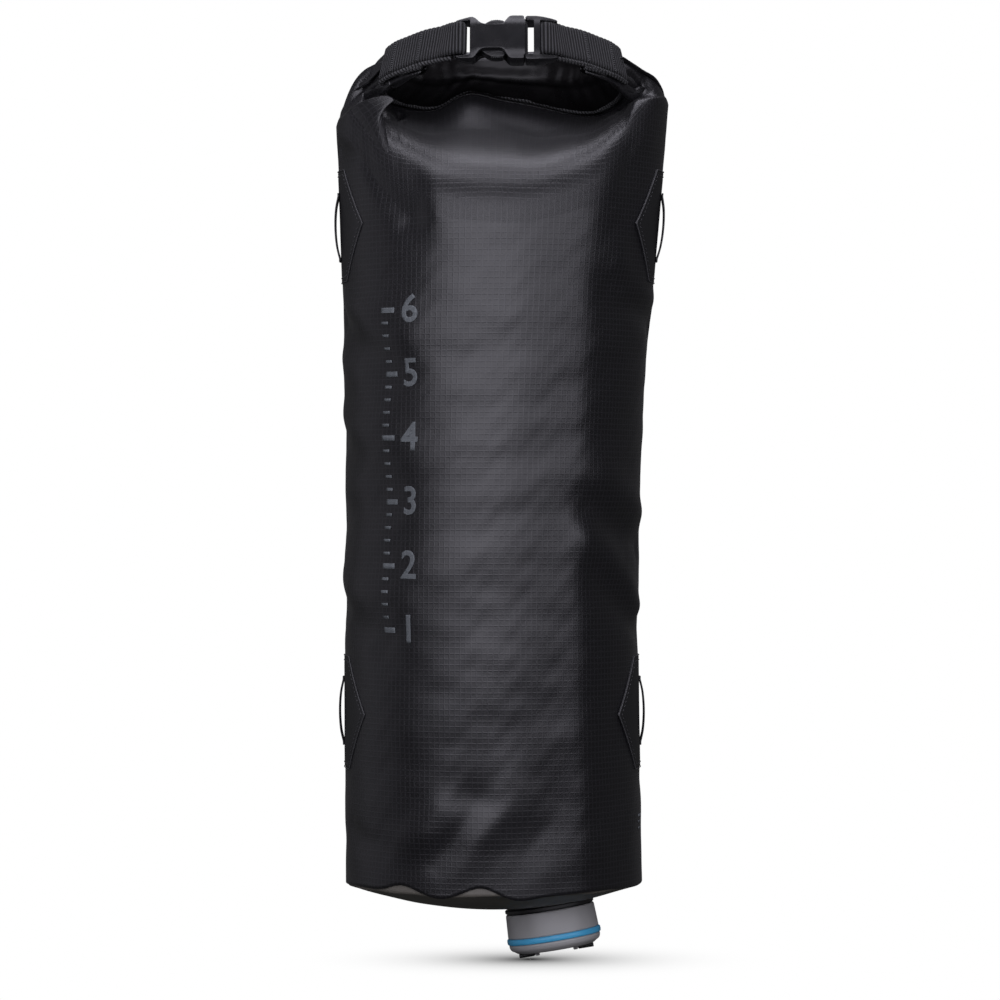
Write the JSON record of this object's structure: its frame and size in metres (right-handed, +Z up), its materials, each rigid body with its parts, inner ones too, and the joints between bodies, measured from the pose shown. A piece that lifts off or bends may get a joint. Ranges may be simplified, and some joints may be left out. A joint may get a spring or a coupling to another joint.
{
  "type": "hydration bladder",
  "caption": "Roll-top fabric water bag with buckled carry ring, tilted screw spout in the base and lash loops on its sides.",
  "frame": {"origin": "centre of the carry ring that the rolled mouth, straps and buckle make", "axes": "+Z up along the bag, +X to the right towards the buckle's male half, -Y the front with the buckle"},
  "size_m": [0.168, 0.148, 0.4652],
  "materials": {
    "coated_fabric": "coated ripstop, low sheen",
    "base_fabric": "coated plain weave, matte",
    "patch_fabric": "coated fabric, satin",
    "binding": "ribbed binding",
    "webbing": "woven, matte",
    "buckle_plastic": "fine moulded grain",
    "black_plastic": "satin",
    "grey_plastic": "satin",
    "blue_plastic": "semi-gloss",
    "seal_rubber": "matte",
    "stiffener": "matte"
  },
  "bodies": {
    "bag": {"bag_front_panel": "coated_fabric", "bag_back_panel": "coated_fabric", "base_panel": "base_fabric", "spout": "black_plastic", "roll_outer_fold": "coated_fabric", "roll_inner_fold": "coated_fabric", "lip_binding": "binding", "lip_stiffener": "stiffener", "strap_left": "webbing", "strap_right": "webbing", "buckle_female": "buckle_plastic", "lash_patch_upper_left": "patch_fabric", "lash_loop_upper_left": "webbing", "lash_patch_upper_right": "patch_fabric", "lash_loop_upper_right": "webbing", "lash_patch_lower_left": "patch_fabric", "lash_loop_lower_left": "webbing", "lash_patch_lower_right": "patch_fabric", "lash_loop_lower_right": "webbing"},
    "buckle_male": {"buckle_male": "buckle_plastic"},
    "prong_upper": {"prong_upper": "buckle_plastic"},
    "prong_lower": {"prong_lower": "buckle_plastic"},
    "cap_seal": {"cap_seal": "seal_rubber"},
    "cap": {"cap_shell": "grey_plastic", "cap_band": "blue_plastic", "cap_stud": "grey_plastic"},
    "cap_bail": {"cap_bail": "black_plastic"}
  },
  "joints": [
    {"name": "buckle_slide", "type": "slide", "parent": "bag", "child": "buckle_male", "axis": [1, 0, 0], "range_m": [0, 0.024], "deforming": ["strap_right", "prong_upper", "prong_lower"]},
    {"name": "prong_upper_press", "type": "hinge", "parent": "buckle_male", "child": "prong_upper", "pos_m": [0.00975, -0.04894, 0.00609], "axis": [0, -0.891, 0.454], "range_deg": [0, 10], "stiffness_Nm_per_rad": 0.5},
    {"name": "prong_lower_press", "type": "hinge", "parent": "buckle_male", "child": "prong_lower", "pos_m": [0.00975, -0.05485, -0.00549], "axis": [0, 0.891, -0.454], "range_deg": [0, 10], "stiffness_Nm_per_rad": 0.5},
    {"name": "cap_travel", "type": "slide", "parent": "bag", "child": "cap_seal", "axis": [0.1602, -0.0493, -0.9859], "range_m": [0, 0.01801]},
    {"name": "cap_turn", "type": "hinge", "parent": "cap_seal", "child": "cap", "pos_m": [0.023, 0.0008, -0.4252], "axis": [0.1602, -0.0493, -0.9859], "range_deg": [0, 1080]},
    {"name": "bail_fold", "type": "hinge", "parent": "cap", "child": "cap_bail", "pos_m": [0.02671, -0.00034, -0.44802], "axis": [-0.9871, 0, -0.1604], "range_deg": [0, 180]}
  ],
  "couplings": [
    {"joint": "cap_travel", "follows": "cap_turn", "m_per_rad": 0.00095493},
    {"joint": "prong_lower_press", "follows": "prong_upper_press", "ratio": 1}
  ]
}
